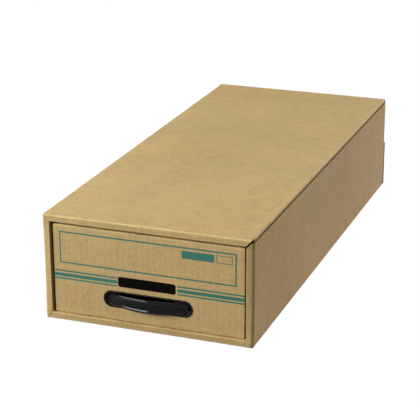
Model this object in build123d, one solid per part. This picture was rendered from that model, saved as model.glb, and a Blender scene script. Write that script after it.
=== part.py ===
from build123d import *
import os
from math import sqrt

# A long, low file storage box of folded corrugated board: a shell, open at the front, and one
# sliding drawer with a plastic grip. Millimetres. X runs to the right, Y to the back, Z up.
# The pieces are drawn with the shell's front face at y = 0, and moved at the end so that the
# origin is the middle of the shell's footprint.

# Board
board = 4.0  # thickness of the single-wall corrugated board
inner_fold_radius = 0.4  # inside radius of a fold
flap_clearance = 0.5  # between a flap's cut edge and the panel that it stops at

# Shell
shell_width = 268.0
shell_depth = 635.0
shell_height = 136.0
joint_bulge = 2.2  # how far the top's folded edge stands over the cut edge of the right side
joint_gap = 0.3  # under that folded edge, above the cut edge
joint_flap_width = 35.0
closing_flap_gap = 1.5  # between the two outer flaps at the back
dust_flap_length = 66.0

# Rolled front rim
rim_width = 8.8
rim_flap_length = 90.0  # how far the rolled edges reach back inside
rim_outer_radius = 3.8
rim_lip_radius = 1.8
rim_mitre_gap = 0.3
rim_open_mitre_gap = 1.3  # at the top right corner, where the joint lets the mitre open

# Drawer
side_clearance = 3.2  # between the drawer and the rim, each side
top_clearance = 3.9
slide_clearance = 0.3  # under the drawer's bottom
front_recess = 3.7  # the drawer's front lies this far behind the rim
back_clearance = 8.0  # behind the closed drawer
corner_flap_length = 48.0
lock_tab_width = 36.0
lock_tab_spacing = 110.0
lock_tab_clearance = 0.3

# Hand hole and its bezel
hole_length = 111.6
hole_height = 18.0
hole_above_bottom = 27.3  # from the drawer's underside to the middle of the hole
lining_hole_margin = 1.5  # the lining's hole is this much larger all round
bezel_lip = 1.8  # how far the bezel covers the board round the hole
bezel_proud = 1.0
bezel_wall = 1.0
bezel_collar_length = 84.0
bezel_lip_radius = 0.6
barb_length = 14.0
barb_depth = 1.4
barb_run = 2.8  # how far behind the board the barb and collar reach
barb_clearance = 0.1  # between the back of the board and the barb

# Grip
grip_length = 106.0
grip_middle_height = 17.4
grip_tip_height = 14.4
grip_thickness = 3.2
grip_bow_radius = 115.0
grip_reach = 10.9  # from the drawer's front to the grip's furthest point
grip_edge_radius = 1.1
grip_groove_depth = 0.9
grip_groove_margin = 2.6
neck_height = 9.0
neck_width = 6.0
neck_inset = 1.5  # from the grip's tip to the neck's outer side
hook_height = 14.0
hook_length = 17.0
hook_thickness = 2.4
hook_corner_radius = 3.0
hook_clearance = 0.3

# Worked out from the sizes above
fold_radius = board + inner_fold_radius
half_width = shell_width / 2
tiny = 1e-6  # below this, a straight run between two folds is left out
joint_x = half_width - board + joint_bulge  # the top's folded edge at the joint
joint_edge_z = shell_height - fold_radius - joint_gap

drawer_width = shell_width - 2 * (rim_width + side_clearance)
drawer_half = drawer_width / 2
drawer_floor = rim_width + slide_clearance
drawer_top = shell_height - rim_width - top_clearance
drawer_front_y = front_recess
drawer_back_y = shell_depth - 2 * board - back_clearance
inner_floor = drawer_floor + board
side_top = drawer_top - board - flap_clearance
lining_half = drawer_half - board - flap_clearance
hole_z = drawer_floor + hole_above_bottom
grip_front_y = drawer_front_y - grip_reach
lining_back_y = drawer_front_y + 3 * board


def along_x(section, start, end):
    """Carry a section drawn as (y, z) from x = start to x = end."""
    return extrude(Plane.YZ.offset(start) * section, end - start)


def along_y(section, start, end):
    """Carry a section drawn as (x, z) from y = start to y = end."""
    return extrude(Plane.XZ.offset(-start) * section, start - end)


def along_z(section, start, end):
    """Carry a section drawn as (x, y) from z = start to z = end."""
    return extrude(Plane.XY.offset(start) * section, end - start)


def box_between(low, high):
    """The block with these opposite corners."""
    size = [b - a for a, b in zip(low, high)]
    middle = [(a + b) / 2 for a, b in zip(low, high)]
    return Pos(*middle) * Box(*size)


def folded_strip(points, side):
    """The section of board whose outer face follows the points, with a round fold at each turn."""
    points = [Vector(*point) for point in points]
    here = points[0]
    runs = []
    for before, corner, after in zip(points, points[1:], points[2:]):
        arrive = corner + (before - corner).normalized() * fold_radius
        leave = corner + (after - corner).normalized() * fold_radius
        if (arrive - here).length > tiny:
            runs.append(Line(here, arrive))
        runs.append(TangentArc(arrive, leave, tangent=corner - before))
        here = leave
    if (points[-1] - here).length > tiny:
        runs.append(Line(here, points[-1]))
    return make_face(offset(Wire(runs), board, side=side).edges())


def area(*points):
    """The flat area inside these corners."""
    return make_face(Polyline(*points, close=True).edges())


def tube_outline(right_x):
    """The outside of the folded tube, from its left side to right_x, as (x, z)."""
    middle = Pos((right_x - half_width) / 2, shell_height / 2)
    return middle * RectangleRounded(right_x + half_width, shell_height, fold_radius)


outer_outline = tube_outline(half_width)
top_outline = tube_outline(joint_x)
tube_hollow = Pos(0, shell_height / 2) * RectangleRounded(
    shell_width - 2 * board, shell_height - 2 * board, inner_fold_radius
)


# Shell panels. Each takes half of the folds that it shares, split at 45 degrees, and ends
# where the flaps' own folds begin.

def shell_top():
    corner = fold_radius
    region = area(
        (-half_width, shell_height),
        (half_width, shell_height),
        (half_width, shell_height - corner),
        (-half_width + corner, shell_height - corner),
    )
    section = (top_outline - tube_hollow) & region
    return along_y(section, rim_outer_radius + board, shell_depth - fold_radius)


def shell_bottom():
    corner = fold_radius
    region = area(
        (-half_width, 0), (half_width, 0), (half_width - corner, corner), (-half_width + corner, corner)
    )
    section = (outer_outline - tube_hollow) & region
    return along_y(section, rim_outer_radius + board, shell_depth - fold_radius)


def shell_left_side():
    corner = fold_radius
    region = area(
        (-half_width, 0),
        (-half_width + corner, corner),
        (-half_width + corner, shell_height - corner),
        (-half_width, shell_height),
    )
    section = (outer_outline - tube_hollow) & region
    return along_y(section, rim_outer_radius + board, shell_depth - board - fold_radius)


def shell_right_side():
    corner = fold_radius
    region = area(
        (half_width, 0),
        (half_width, joint_edge_z),
        (half_width - corner, joint_edge_z),
        (half_width - corner, corner),
    )
    section = (outer_outline - tube_hollow) & region
    return along_y(section, rim_outer_radius + board, shell_depth - board - fold_radius)


def shell_joint_flap():
    outer = half_width - board
    top = shell_height - fold_radius
    return box_between(
        (outer - board, rim_flap_length + flap_clearance, top - joint_flap_width),
        (outer, shell_depth - 2 * board - flap_clearance, top),
    )


# Rolled front rim. One section, as (depth in from the outside, y), serves all four sides.

def rim_section(flap_length):
    """Outer leg, flat rim and inner flap, with a soft outer fold and a tighter lip."""
    leg = rim_outer_radius + board
    section = area(
        (0, 0),
        (rim_width, 0),
        (rim_width, flap_length),
        (rim_width - board, flap_length),
        (rim_width - board, board),
        (board, board),
        (board, leg),
        (0, leg),
    )
    front = section.vertices().sort_by(Axis.Y)[:2].sort_by(Axis.X)
    section = fillet(front[0], rim_outer_radius)
    lip = section.vertices().sort_by(Axis.Y).filter_by(lambda v: abs(v.X - rim_width) < tiny)[0]
    return fillet(lip, rim_lip_radius)


def mitre_region(side):
    """The part of the front, as (x, z), that the mitres leave to this side of the rim."""
    usual = rim_mitre_gap / sqrt(2)
    opened = rim_open_mitre_gap / sqrt(2)
    reach = shell_height / 2
    if side == "top":
        return area(
            (-half_width + usual, shell_height),
            (half_width - opened, shell_height),
            (half_width - opened - reach, shell_height - reach),
            (-half_width + usual + reach, shell_height - reach),
        )
    if side == "bottom":
        return area(
            (-half_width + usual, 0),
            (-half_width + usual + reach, reach),
            (half_width - usual - reach, reach),
            (half_width - usual, 0),
        )
    if side == "left":
        tip = (shell_height - 2 * usual) / 2
        return area(
            (-half_width, usual), (-half_width + tip, usual + tip), (-half_width, shell_height - usual)
        )
    corner = shell_height - opened
    top = min(joint_edge_z, corner)
    return area(
        (half_width, usual),
        (half_width, top),
        (half_width - corner + top, top),
        (half_width - corner + reach, reach),
        (half_width - reach + usual, reach),
    )


def shell_rim_top():
    start = Plane((-half_width, 0, shell_height), x_dir=(0, 0, -1), z_dir=(1, 0, 0))
    bar = extrude(start * rim_section(rim_flap_length), shell_width, dir=(1, 0, 0))
    kept = along_y(mitre_region("top") & top_outline, 0, rim_flap_length)
    return bar & kept


def shell_rim_bottom():
    flap_length = shell_depth - 2 * board - flap_clearance
    bar = Plane((-half_width, 0, 0), x_dir=(0, 0, 1), z_dir=(-1, 0, 0)) * rim_section(flap_length)
    bar = extrude(bar, shell_width, dir=(1, 0, 0))
    kept = along_y(mitre_region("bottom") & outer_outline, 0, flap_length)
    return bar & kept


def shell_rim_left():
    bar = Plane((-half_width, 0, 0), x_dir=(1, 0, 0), z_dir=(0, 0, 1)) * rim_section(rim_flap_length)
    bar = extrude(bar, shell_height, dir=(0, 0, 1))
    kept = along_y(mitre_region("left") & outer_outline, 0, rim_flap_length)
    return bar & kept


def shell_rim_right():
    bar = Plane((half_width, 0, 0), x_dir=(-1, 0, 0), z_dir=(0, 0, -1)) * rim_section(rim_flap_length)
    bar = extrude(bar, shell_height, dir=(0, 0, 1))
    kept = along_y(mitre_region("right") & outer_outline, 0, rim_flap_length)
    return bar & kept


# Back of the shell: two dust flaps turned in from the sides, then two outer flaps over them.

def shell_back_flap_upper():
    back = shell_depth
    edge = (shell_height + closing_flap_gap) / 2
    section = folded_strip(
        [(back - fold_radius, shell_height), (back, shell_height), (back, edge)], Side.RIGHT
    )
    flap = along_x(section, -half_width, half_width)
    return flap & along_y(top_outline, back - fold_radius, back)


def shell_back_flap_lower():
    back = shell_depth
    edge = (shell_height - closing_flap_gap) / 2
    section = folded_strip([(back - fold_radius, 0), (back, 0), (back, edge)], Side.LEFT)
    flap = along_x(section, -half_width, half_width)
    return flap & along_y(outer_outline, back - fold_radius, back)


def shell_dust_flap_left():
    back = shell_depth - board
    section = folded_strip(
        [
            (-half_width, back - fold_radius),
            (-half_width, back),
            (-half_width + dust_flap_length, back),
        ],
        Side.RIGHT,
    )
    return along_z(section, board + flap_clearance, shell_height - board - flap_clearance)


def shell_dust_flap_right():
    back = shell_depth - board
    section = folded_strip(
        [
            (half_width, back - fold_radius),
            (half_width, back),
            (half_width - dust_flap_length, back),
        ],
        Side.LEFT,
    )
    return along_z(section, board + flap_clearance, joint_edge_z - board)


# Drawer: a tray of one folded sheet. The ends are rolled over the corner flaps and locked down
# by tabs in slots of the bottom.

def tray_section():
    """The tray's bottom and sides, folded from one strip, as (x, z)."""
    return folded_strip(
        [
            (-drawer_half, side_top),
            (-drawer_half, drawer_floor),
            (drawer_half, drawer_floor),
            (drawer_half, side_top),
        ],
        Side.LEFT,
    )


def lock_tab_places():
    """The middles of the four lock tabs, as (x, y of the lining's outer face)."""
    across = [-lock_tab_spacing / 2, lock_tab_spacing / 2]
    return [(x, y) for y in (drawer_front_y + 2 * board, drawer_back_y - 3 * board) for x in across]


def drawer_bottom():
    corner = fold_radius
    region = area(
        (-drawer_half, drawer_floor),
        (drawer_half, drawer_floor),
        (drawer_half - corner, drawer_floor + corner),
        (-drawer_half + corner, drawer_floor + corner),
    )
    panel = along_y(tray_section() & region, drawer_front_y + fold_radius, drawer_back_y - fold_radius)
    gap = lock_tab_clearance
    for x, y in lock_tab_places():
        panel -= box_between(
            (x - lock_tab_width / 2 - gap, y - gap, drawer_floor - gap),
            (x + lock_tab_width / 2 + gap, y + board + gap, inner_floor + gap),
        )
    return panel


def drawer_side(direction):
    """One side panel: direction is -1 for the left one and 1 for the right one."""
    corner = fold_radius
    outer = direction * drawer_half
    inner = direction * (drawer_half - corner)
    region = area(
        (outer, drawer_floor), (inner, drawer_floor + corner), (inner, side_top), (outer, side_top)
    )
    start = drawer_front_y + board + fold_radius
    end = drawer_back_y - board - fold_radius
    return along_y(tray_section() & region, start, end)


def drawer_corner_flap(direction, end_face, inward):
    """A flap turned in behind the end layer: inward is 1 at the front and -1 at the back."""
    face = end_face + inward * board
    outer = direction * drawer_half
    side = Side.LEFT if direction * inward < 0 else Side.RIGHT
    section = folded_strip(
        [
            (outer, face + inward * fold_radius),
            (outer, face),
            (outer - direction * corner_flap_length, face),
        ],
        side,
    )
    return along_z(section, inner_floor + flap_clearance, side_top)


def end_layer(end_face, inward):
    """The outer layer of an end, from the fold at the bottom to the fold at the top."""
    side = Side.RIGHT if inward > 0 else Side.LEFT
    section = folded_strip(
        [
            (end_face + inward * fold_radius, drawer_floor),
            (end_face, drawer_floor),
            (end_face, drawer_top),
            (end_face + inward * fold_radius, drawer_top),
        ],
        side,
    )
    return along_x(section, -drawer_half, drawer_half)


def end_lining(end_face, inward):
    """The rolled-over strip and inner layer of an end, with its lock tabs."""
    inner_face = end_face + inward * 3 * board
    side = Side.RIGHT if inward > 0 else Side.LEFT
    section = folded_strip(
        [
            (end_face + inward * fold_radius, drawer_top),
            (inner_face, drawer_top),
            (inner_face, inner_floor),
        ],
        side,
    )
    lining = along_x(section, -lining_half, lining_half)
    near, far = sorted([inner_face - inward * board, inner_face])
    for x in (-lock_tab_spacing / 2, lock_tab_spacing / 2):
        lining += box_between(
            (x - lock_tab_width / 2, near, drawer_floor),
            (x + lock_tab_width / 2, far, inner_floor),
        )
    return lining


def hand_hole(margin):
    """The long round-ended cut for the hand, this much larger than the bare hole."""
    outline = Pos(0, hole_z) * SlotOverall(hole_length + 2 * margin, hole_height + 2 * margin)
    return along_y(outline, drawer_front_y - board, lining_back_y + board)


def drawer_front():
    return end_layer(drawer_front_y, 1) - hand_hole(0)


def drawer_front_lining():
    return end_lining(drawer_front_y, 1) - hand_hole(lining_hole_margin)


# Handle: a bezel snapped into the outer layer, and a bowed grip whose hooks lie behind the lining.

def handle_bezel():
    outer = Pos(0, hole_z) * SlotOverall(hole_length + 2 * bezel_lip, hole_height + 2 * bezel_lip)
    inner = Pos(0, hole_z) * SlotOverall(hole_length - 2 * bezel_wall, hole_height - 2 * bezel_wall)
    lip = along_y(outer, drawer_front_y - bezel_proud, drawer_front_y)
    lip = fillet(lip.faces().sort_by(Axis.Y)[0].edges(), bezel_lip_radius)
    board_back = drawer_front_y + board
    collar_end = board_back + barb_run
    barb_start = board_back + barb_clearance
    ring = lip
    for up in (-1, 1):
        wall = hole_z + up * hole_height / 2
        low, high = sorted([wall - up * bezel_wall, wall])
        ring += box_between(
            (-bezel_collar_length / 2, drawer_front_y, low),
            (bezel_collar_length / 2, collar_end, high),
        )
        barb = area((barb_start, wall), (collar_end, wall), (barb_start, wall + up * barb_depth))
        for x in (-bezel_collar_length / 4, bezel_collar_length / 4):
            ring += along_x(barb, x - barb_length / 2, x + barb_length / 2)
    return ring - along_y(inner, drawer_front_y - board, drawer_front_y + 3 * board)


def grip_outline(inset):
    """The grip seen from the front: gently bulging edges and round tips, as (x, z)."""
    tip = grip_tip_height / 2 - inset
    middle = grip_middle_height / 2 - inset
    end = grip_length / 2 - inset
    shoulder = end - tip
    edge = Edge.make_three_point_arc
    lines = [
        edge((-shoulder, tip), (0, middle), (shoulder, tip)),
        edge((shoulder, tip), (end, 0), (shoulder, -tip)),
        edge((shoulder, -tip), (0, -middle), (-shoulder, -tip)),
        edge((-shoulder, -tip), (-end, 0), (-shoulder, tip)),
    ]
    return Pos(0, hole_z) * make_face(lines)


def grip_arc_band(front_offset, thickness):
    """The bowed band seen from above, as (x, y), this far behind the grip's front face."""
    radius = grip_bow_radius - front_offset
    centre = (0, grip_front_y + grip_bow_radius)
    ring = Circle(radius) - Circle(radius - thickness)
    return Pos(*centre) * ring


def handle_grip():
    low = hole_z - grip_middle_height
    high = hole_z + grip_middle_height
    arc_centre_y = grip_front_y + grip_bow_radius
    band = along_z(grip_arc_band(0, grip_thickness), low, high)
    grip = band & along_y(grip_outline(0), grip_front_y - board, arc_centre_y)
    half_neck = neck_height / 2
    outer = grip_length / 2 - neck_inset
    near = outer - neck_width
    rise = grip_bow_radius - sqrt(grip_bow_radius**2 - near**2)
    neck_start = grip_front_y + rise + grip_thickness / 2
    hook_face = lining_back_y + hook_clearance
    for direction in (-1, 1):
        low_x, high_x = sorted([direction * near, direction * outer])
        grip += box_between(
            (low_x, neck_start, hole_z - half_neck),
            (high_x, hook_face + hook_thickness, hole_z + half_neck),
        )
        hook = RectangleRounded(hook_length, hook_height, hook_corner_radius)
        hook = Pos(direction * (near + hook_length / 2), hole_z) * hook
        grip += along_y(hook, hook_face, hook_face + hook_thickness)
    outline_edges = grip.edges().filter_by(
        lambda edge: edge.length > grip_tip_height and edge.center().Y < drawer_front_y + board / 2
    )
    grip = fillet(outline_edges, grip_edge_radius)
    groove = along_z(grip_arc_band(-board, board + grip_groove_depth), low, high)
    groove &= along_y(grip_outline(grip_groove_margin), grip_front_y - 2 * board, arc_centre_y)
    return grip - groove


pieces = {
    "shell_top": shell_top,
    "shell_left_side": shell_left_side,
    "shell_bottom": shell_bottom,
    "shell_right_side": shell_right_side,
    "shell_joint_flap": shell_joint_flap,
    "shell_rim_top": shell_rim_top,
    "shell_rim_left": shell_rim_left,
    "shell_rim_right": shell_rim_right,
    "shell_rim_bottom": shell_rim_bottom,
    "shell_back_flap_upper": shell_back_flap_upper,
    "shell_back_flap_lower": shell_back_flap_lower,
    "shell_dust_flap_left": shell_dust_flap_left,
    "shell_dust_flap_right": shell_dust_flap_right,
    "drawer_bottom": drawer_bottom,
    "drawer_left_side": lambda: drawer_side(-1),
    "drawer_right_side": lambda: drawer_side(1),
    "drawer_front": drawer_front,
    "drawer_front_lining": drawer_front_lining,
    "drawer_back": lambda: end_layer(drawer_back_y, -1),
    "drawer_back_lining": lambda: end_lining(drawer_back_y, -1),
    "drawer_corner_flap_front_left": lambda: drawer_corner_flap(-1, drawer_front_y, 1),
    "drawer_corner_flap_front_right": lambda: drawer_corner_flap(1, drawer_front_y, 1),
    "drawer_corner_flap_back_left": lambda: drawer_corner_flap(-1, drawer_back_y, -1),
    "drawer_corner_flap_back_right": lambda: drawer_corner_flap(1, drawer_back_y, -1),
    "handle_bezel": handle_bezel,
    "handle_grip": handle_grip,
}

os.makedirs("parts", exist_ok=True)
to_origin = Pos(0, -shell_depth / 2, 0)
for name, make in pieces.items():
    export_step(to_origin * make(), f"parts/{name}.step")
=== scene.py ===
import math

import bmesh
import bpy
import numpy as np
from bpy.props import FloatProperty, FloatVectorProperty
from mathutils import Matrix, Vector


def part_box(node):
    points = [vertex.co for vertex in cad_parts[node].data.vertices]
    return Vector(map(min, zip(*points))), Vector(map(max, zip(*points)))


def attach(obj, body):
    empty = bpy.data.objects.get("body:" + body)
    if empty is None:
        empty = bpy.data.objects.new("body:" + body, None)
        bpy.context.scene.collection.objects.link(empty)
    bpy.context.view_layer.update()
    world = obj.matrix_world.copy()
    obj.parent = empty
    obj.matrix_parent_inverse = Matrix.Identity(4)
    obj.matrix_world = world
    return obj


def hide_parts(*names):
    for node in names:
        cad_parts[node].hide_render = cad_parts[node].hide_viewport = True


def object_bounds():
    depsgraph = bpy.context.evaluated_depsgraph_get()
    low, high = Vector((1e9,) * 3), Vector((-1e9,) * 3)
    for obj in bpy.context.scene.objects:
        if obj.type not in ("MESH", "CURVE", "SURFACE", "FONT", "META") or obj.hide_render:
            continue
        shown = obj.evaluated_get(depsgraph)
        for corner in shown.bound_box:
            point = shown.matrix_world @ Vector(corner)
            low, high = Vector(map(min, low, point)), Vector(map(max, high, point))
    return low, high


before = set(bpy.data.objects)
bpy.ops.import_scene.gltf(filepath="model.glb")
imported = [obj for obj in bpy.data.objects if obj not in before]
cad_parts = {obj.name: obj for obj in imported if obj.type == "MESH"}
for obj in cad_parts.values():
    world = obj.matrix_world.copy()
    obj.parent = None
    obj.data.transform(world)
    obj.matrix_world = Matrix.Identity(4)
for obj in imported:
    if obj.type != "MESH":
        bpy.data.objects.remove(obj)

bl_info = {
    "name": "File box with drawer",
    "version": (1, 0, 0),
    "blender": (4, 5, 0),
    "location": "3D View > Sidebar > File box",
    "description": "Dresses a folded corrugated file box: shell, drawer, hand grip and a plain studio",
    "category": "Object",
}

# Millimetres, in the frame's own axes: X to the right, Y to the back, Z up.
MM = 0.001
BOARD = 4.0
FOLD = 4.4  # how far a fold reaches from its corner
CREASE = 2.2  # outer radius of a crushed crease
SHARP = 2.0  # outer radius of the drawer front's creases
TIGHTEST = 0.05  # least radius inside a fold
TURNS = 8  # steps of a fold
WAVE_POINTS = 10  # points to a wave of the board
LONG_POINTS = 8  # the same on the shell's large panels
CALM_STEP = 40.0  # between stations along the flutes
KEEP_SMOOTH = math.radians(60)  # edges that turn further are shaded sharp
WELD = 1e-6  # metres between points that are one


def box_mm(node):
    """Lowest and highest corner of a CAD node, in millimetres."""
    low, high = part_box(node)
    return np.array(low) / MM, np.array(high) / MM


CAD_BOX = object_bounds()
FRONT = box_mm("shell_rim_top")[0][1]
BACK = box_mm("shell_back_flap_upper")[1][1]
HALF = -box_mm("shell_left_side")[0][0]
TOP = box_mm("shell_top")[1][2]
JOINT_X = box_mm("shell_top")[1][0]
JOINT_Z = box_mm("shell_right_side")[1][2]
RIM = 8.8  # width of the rim's face
RIM_BEND = 2.0  # outer radius of a rim's front fold
ROUND_BEND = 4.8  # the right-hand rim is rolled more softly than the others
RIM_LIP = 1.1  # outer radius of the fold beside the drawer
RIM_START = 7.8  # where the rim's bend begins, behind the front
DRAWER_LOW, DRAWER_HIGH = box_mm("drawer_front")
DRAWER_FRONT = DRAWER_LOW[1]
DRAWER_BACK = box_mm("drawer_back")[1][1]
DRAWER_HALF = DRAWER_HIGH[0]
DRAWER_FLOOR = DRAWER_LOW[2]
DRAWER_TOP = DRAWER_HIGH[2]
SIDE_TOP = box_mm("drawer_left_side")[1][2]
LINING_HALF = box_mm("drawer_front_lining")[1][0]
HOLE_Z = DRAWER_FLOOR + 27.3
HOLE_END = 9.0  # radius of the hand hole's round ends
HOLE_STRAIGHT = 46.8  # half its length between them
TAB_X = 55.0
TAB_WIDTH = 36.0
SLOT_GAP = 0.3  # between a lock tab and its slot


# ---------------------------------------------------------------- sizes and colours

def size_slider(name, description, default, low, high):
    """A size in millimetres."""
    return FloatProperty(name=name, description=description + ", mm", default=default, min=low, max=high)


def colour_field(name, description, *default):
    """A linear colour."""
    return FloatVectorProperty(name=name, description=description, subtype="COLOR", size=3, default=default)


class BoxSizes(bpy.types.PropertyGroup):
    liner: size_slider("Liner", "Thickness of each face sheet", 0.45, 0.1, 1.0)
    medium: size_slider("Medium", "Thickness of the wavy sheet", 0.3, 0.1, 1.0)
    pitch: size_slider("Flute pitch", "From one wave to the next", 7.9, 4.0, 12.0)
    ripple: size_slider("Washboard", "How far the face dips between waves", 0.09, 0.0, 0.3)
    ink: size_slider("Ink", "How far the print stands on the board", 0.03, 0.01, 0.2)


class BoxColours(bpy.types.PropertyGroup):
    kraft: colour_field("Kraft", "Face of the board", 0.524, 0.381, 0.172)
    print_ink: colour_field("Print", "The drawer's printed lines", 0.046, 0.200, 0.154)
    label_ink: colour_field("Label", "The dark printed label", 0.0014, 0.0011, 0.001)
    plastic: colour_field("Plastic", "Bezel and grip", 0.0016, 0.0016, 0.0017)


def sizes():
    return bpy.context.scene.file_box_sizes


def colour_of(name):
    return tuple(getattr(bpy.context.scene.file_box_colours, name))


# ---------------------------------------------------------------- surfaces

def fold_line(corners, radii, depth, side, runs, turns, half):
    """Points of a folded line, `depth` in from the outer face, and 1 for each that is in a bend.

    A run goes straight from one bend to the next. A bend is centre - m r cos(a) + d r sin(a), with d the
    way in, m the way the line turns, and r the outer radius less the depth on the inside of a fold.
    """
    corners = np.asarray(corners, float)
    along = np.diff(corners, axis=0)
    along /= np.linalg.norm(along, axis=1)[:, None]
    left = np.stack([-along[:, 1], along[:, 0]], 1)
    normal = side * left
    moved = corners.copy()
    moved[0] += depth * normal[0]
    moved[-1] += depth * normal[-1]
    for k in range(1, len(corners) - 1):
        moved[k] += depth * (normal[k - 1] + normal[k]) / (1 + normal[k - 1] @ normal[k])
    points, bend = [], []
    here = moved[0]
    last = len(corners) - 2
    for k in range(1, len(corners) - 1):
        d, e = along[k - 1], along[k]
        turn = np.sign(d[0] * e[1] - d[1] * e[0])
        angle = math.acos(np.clip(d @ e, -1, 1))
        radius = max(radii[k - 1] - depth * turn * side, TIGHTEST)
        start = moved[k] - d * radius * math.tan(angle / 2)
        m = turn * left[k - 1]
        first, end = 0.0, angle
        if k == 1 and half[0]:
            first = angle / 2
        elif len(runs[k - 1]):
            f = runs[k - 1][:-1, None]
            points.append(here + (start - here) * f)
            bend.append(np.zeros(len(f)))
        if k == last and half[1]:
            end = angle / 2
        a = np.linspace(first, end, turns + 1)[:, None]
        arc = start + m * radius * (1 - np.cos(a)) + d * radius * np.sin(a)
        stop = k == last and (half[1] or not len(runs[k]))
        points.append(arc if stop else arc[:-1])
        bend.append(np.ones(len(points[-1])))
        if not (k == 1 and half[0]):
            bend[-1][0] = 0
        here = arc[-1]
    if not half[1] and len(runs[-1]):
        points.append(here + (moved[-1] - here) * runs[-1][:, None])
        bend.append(np.zeros(len(runs[-1])))
    return np.concatenate(points), np.concatenate(bend)


def even(count):
    """Fractions of a run, from 0 to 1."""
    return np.linspace(0, 1, count + 1) if count else np.zeros(0)


def wave_rows(length, points=WAVE_POINTS):
    """Fractions of a run across the flutes, with so many points to a wave."""
    return even(int(length / sizes().pitch * points))


def with_breaks(low, high, step, breaks=()):
    """Evenly spaced values from low to high, with the breaks among them."""
    values = np.linspace(low, high, max(2, int(round((high - low) / step)) + 1))
    breaks = np.array([b for b in breaks if low < b < high])
    if len(breaks):
        near = np.abs(values[:, None] - breaks[None]).min(1) < step * 0.3
        near[[0, -1]] = False
        values = np.sort(np.concatenate([values[~near], breaks]))
    return values


def slab(front, back, keep=None):
    """A closed slab between two grids of points: both faces, and a wall along every border of the kept cells."""
    rows, columns = front.shape[:2]
    index = np.arange(rows * columns).reshape(rows, columns)
    a, b, c, d = index[:-1, :-1], index[1:, :-1], index[1:, 1:], index[:-1, 1:]
    if keep is None:
        keep = np.ones(a.shape, bool)
    cells = np.stack([a, b, c, d], -1)[keep]
    far = rows * columns
    around = np.pad(keep, 1)
    walls = []
    for u, v, beside in (
        (a, b, around[1:-1, :-2]), (b, c, around[2:, 1:-1]), (c, d, around[1:-1, 2:]), (d, a, around[:-2, 1:-1]),
    ):
        border = keep & ~beside
        u, v = u[border], v[border]
        walls.append(np.stack([v, u, u + far, v + far], -1))
    walls = np.concatenate(walls)
    points = np.concatenate([front.reshape(-1, 3), back.reshape(-1, 3)])
    faces = np.concatenate([cells, cells[:, ::-1] + far, walls])
    is_wall = np.arange(len(faces)) >= 2 * len(cells)
    if signed_volume(points, faces) < 0:
        faces = faces[:, ::-1]
    return points, faces, is_wall


def signed_volume(points, quads):
    """Sum of the signed tetrahedra under each face: positive when the faces point outwards."""
    centre = points.mean(0)
    a, b, c, d = (points[quads[:, i]] - centre for i in range(4))
    return (np.einsum("ij,ij->i", a, np.cross(b, c)) + np.einsum("ij,ij->i", a, np.cross(c, d))).sum()


def piece(name, body, parts, materials, node=None, merge=0.0):
    """One object from slabs of (points, quads, is_wall, material index, wall material index, attributes)."""
    points = np.concatenate([p[0] for p in parts])
    offsets = np.cumsum([0] + [len(p[0]) for p in parts[:-1]])
    quads = np.concatenate([p[1] + o for p, o in zip(parts, offsets)])
    is_wall = np.concatenate([p[2] for p in parts])
    skin = np.concatenate([np.where(p[2], p[4], p[3]) for p in parts])
    mesh = bpy.data.meshes.new(name)
    mesh.vertices.add(len(points))
    mesh.vertices.foreach_set("co", (points * MM).ravel())
    mesh.loops.add(quads.size)
    mesh.loops.foreach_set("vertex_index", quads.ravel())
    mesh.polygons.add(len(quads))
    mesh.polygons.foreach_set("loop_start", np.arange(0, quads.size, 4))
    mesh.polygons.foreach_set("material_index", skin.astype(np.int32))
    mesh.update(calc_edges=True)
    mesh.polygons.foreach_set("use_smooth", ~is_wall)
    for key in ("across", "crease"):
        layer = mesh.attributes.new(key, "FLOAT", "POINT")
        layer.data.foreach_set("value", np.concatenate([p[5][key] for p in parts]).astype(np.float32))
    for material in materials:
        mesh.materials.append(material)
    if merge:
        weld(mesh, merge)
    mesh.set_sharp_from_angle(angle=KEEP_SMOOTH)
    obj = bpy.data.objects.new(name, mesh)
    bpy.context.scene.collection.objects.link(obj)
    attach(obj, body)
    if node:
        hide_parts(*([node] if isinstance(node, str) else node))


def weld(mesh, distance):
    """Joins points that lie together, and drops the faces that this leaves without area."""
    work = bmesh.new()
    work.from_mesh(mesh)
    bmesh.ops.remove_doubles(work, verts=work.verts, dist=distance)
    bmesh.ops.dissolve_degenerate(work, dist=distance * 0.1, edges=work.edges)
    work.to_mesh(mesh)
    work.free()


def fade(position, low, high, width=3.0):
    """0 at both ends, rising smoothly to 1 within the width."""
    near = np.clip(np.minimum(position - low, high - position) / width, 0, 1)
    return near * near * (3 - 2 * near)


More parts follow.
